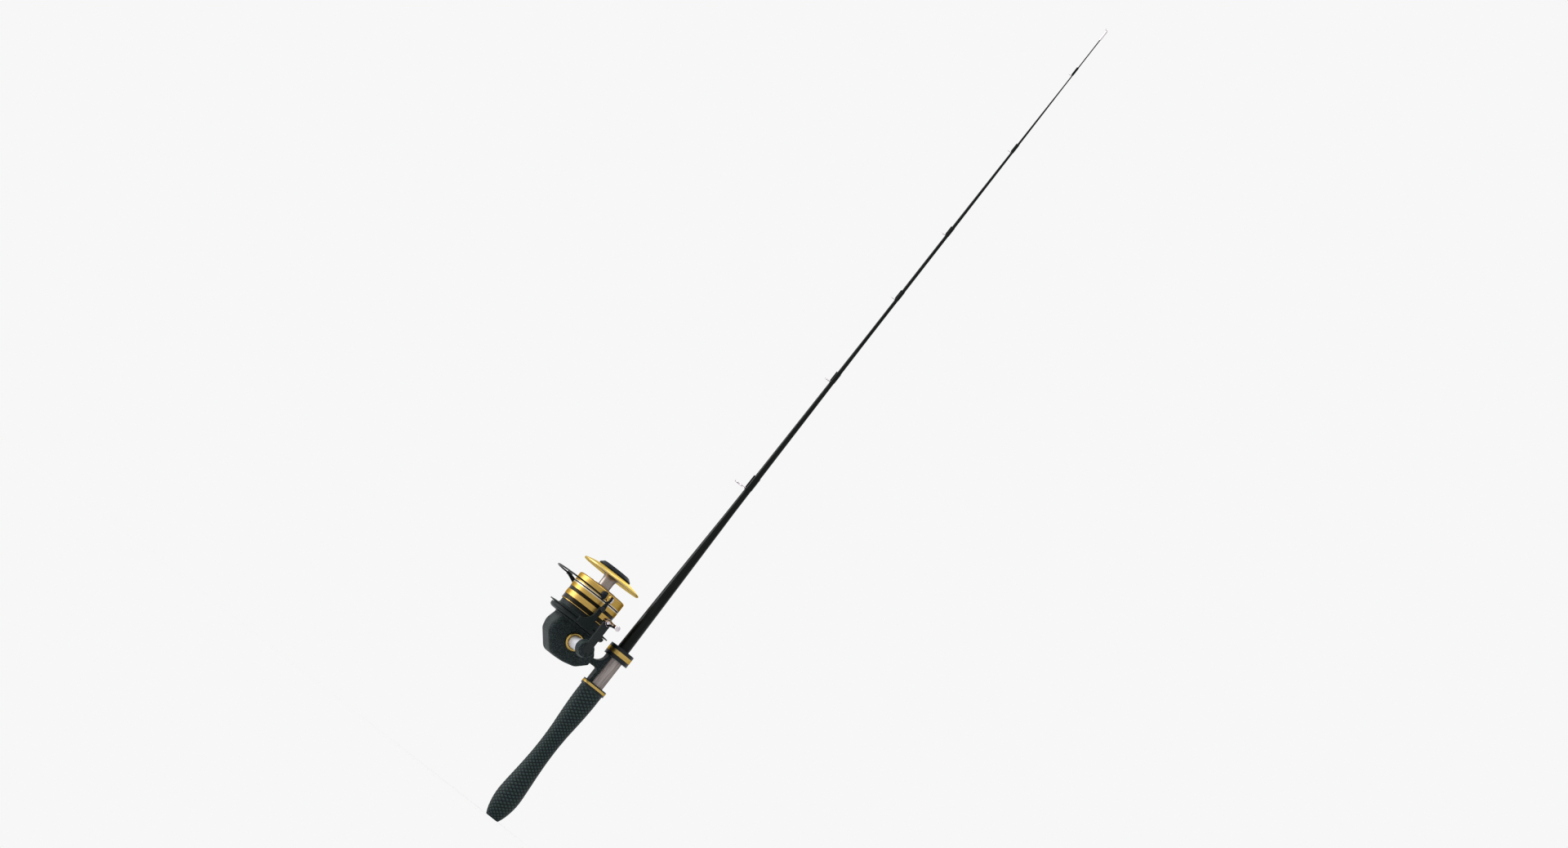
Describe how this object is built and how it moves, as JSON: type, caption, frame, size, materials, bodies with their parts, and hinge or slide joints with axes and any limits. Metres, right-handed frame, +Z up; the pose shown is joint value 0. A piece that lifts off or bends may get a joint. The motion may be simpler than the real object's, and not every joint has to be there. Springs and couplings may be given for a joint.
{
  "type": "fishing rod and reel",
  "caption": "Short fishing rod with a swelling grip, a ringed reel seat and wire line guides, carrying a spinning reel with a banded spool, bail and side crank.",
  "frame": {"origin": "centre of the butt's flat end", "axes": "+Z up the rod towards the tip; the reel hangs on the -X side; the crank handle is on the -Y side"},
  "size_m": [0.1656, 0.1795, 1.3714],
  "materials": {
    "black_paint": "satin",
    "blank_gloss": "gloss",
    "bright_steel": "polished",
    "brushed_steel": "brushed",
    "case_paint": "fine crinkle",
    "gear_brass": "machined",
    "gold_anodised": "satin",
    "grip_rubber": "matte, embossed",
    "seat_metal": "brushed",
    "washer_fibre": "matte",
    "wire_black": "gloss"
  },
  "bodies": {
    "rod": {"rear_grip": "grip_rubber", "rod_blank": "blank_gloss", "seat_tube": "seat_metal", "lower_collar": "black_paint", "lower_collar_ring": "gold_anodised", "line_guide_1": "bright_steel", "line_guide_2": "bright_steel", "line_guide_3": "bright_steel", "line_guide_4": "bright_steel", "line_guide_5": "bright_steel", "line_guide_6": "bright_steel", "guide_wraps": "blank_gloss", "tip_top": "bright_steel", "reel_case": "case_paint", "side_cover": "case_paint", "cover_screws": "brushed_steel", "far_bush": "brushed_steel", "axle_cap": "case_paint", "near_bush": "brushed_steel", "bezel": "gold_anodised", "rotor_bearing": "brushed_steel"},
    "hood": {"sliding_hood": "black_paint"},
    "lock_nut_body": {"lock_nut": "black_paint", "lock_nut_ring": "gold_anodised"},
    "crank": {"drive_gear": "gear_brass", "handle_shaft": "bright_steel", "handle_hub": "case_paint", "crank_arm": "case_paint", "knob_post": "bright_steel"},
    "knob": {"peg_knob": "bright_steel"},
    "rotor_body": {"rotor": "case_paint", "pinion": "gear_brass", "rotor_nut": "brushed_steel", "bail_pivot_screws": "brushed_steel"},
    "bail": {"bail_lever_near": "black_paint", "bail_lever_far": "black_paint", "bail_wire": "wire_black", "wire_housing": "black_paint", "roller_pin": "bright_steel"},
    "roller": {"line_roller": "bright_steel"},
    "shaft": {"main_shaft": "brushed_steel", "oscillation_slider": "gear_brass", "spool_support": "brushed_steel"},
    "spool": {"spool_core": "seat_metal", "spool_skirt": "gold_anodised", "spool_lip": "gold_anodised", "drag_washers": "washer_fibre"},
    "drag": {"drag_knob": "black_paint"},
    "reverse_switch": {"anti_reverse_lever": "black_paint"}
  },
  "joints": [
    {"name": "hood_slide", "type": "slide", "parent": "rod", "child": "hood", "axis": [0, 0, 1], "range_m": [0, 0.006]},
    {"name": "lock_nut_turn", "type": "hinge", "parent": "hood", "child": "lock_nut_body", "pos_m": [0, 0, 0.28], "axis": [0, 0, 1], "range_deg": [0, 1080]},
    {"name": "crank_turn", "type": "hinge", "parent": "rod", "child": "crank", "pos_m": [-0.0696, 0, 0.255], "axis": [0, 1, 0], "continuous": true},
    {"name": "knob_spin", "type": "hinge", "parent": "crank", "child": "knob", "pos_m": [-0.0696, -0.1, 0.3015], "axis": [0, 1, 0], "continuous": true},
    {"name": "rotor_turn", "type": "hinge", "parent": "rod", "child": "rotor_body", "pos_m": [-0.078, 0, 0.28], "axis": [0, 0, 1], "continuous": true},
    {"name": "bail_flip", "type": "hinge", "parent": "rotor_body", "child": "bail", "pos_m": [-0.078, 0, 0.312], "axis": [0, 1, 0], "range_deg": [0, 105]},
    {"name": "line_roller_spin", "type": "hinge", "parent": "bail", "child": "roller", "pos_m": [-0.0828, -0.051, 0.3286], "axis": [1, 0, 0], "continuous": true},
    {"name": "spool_oscillation", "type": "slide", "parent": "rod", "child": "shaft", "axis": [0, 0, 1], "range_m": [-0.006, 0]},
    {"name": "spool_drag_slip", "type": "hinge", "parent": "shaft", "child": "spool", "pos_m": [-0.078, 0, 0.34], "axis": [0, 0, 1], "continuous": true},
    {"name": "drag_knob_turn", "type": "hinge", "parent": "shaft", "child": "drag", "pos_m": [-0.078, 0, 0.365], "axis": [0, 0, 1], "range_deg": [-180, 540]},
    {"name": "anti_reverse_turn", "type": "hinge", "parent": "rod", "child": "reverse_switch", "pos_m": [-0.099, 0.021, 0.261], "axis": [0, 1, 0], "range_deg": [0, 35]}
  ],
  "couplings": [
    {"joint": "lock_nut_turn", "follows": "hood_slide", "rad_per_m": 3141.6},
    {"joint": "rotor_turn", "follows": "crank_turn", "ratio": -4.2}
  ]
}
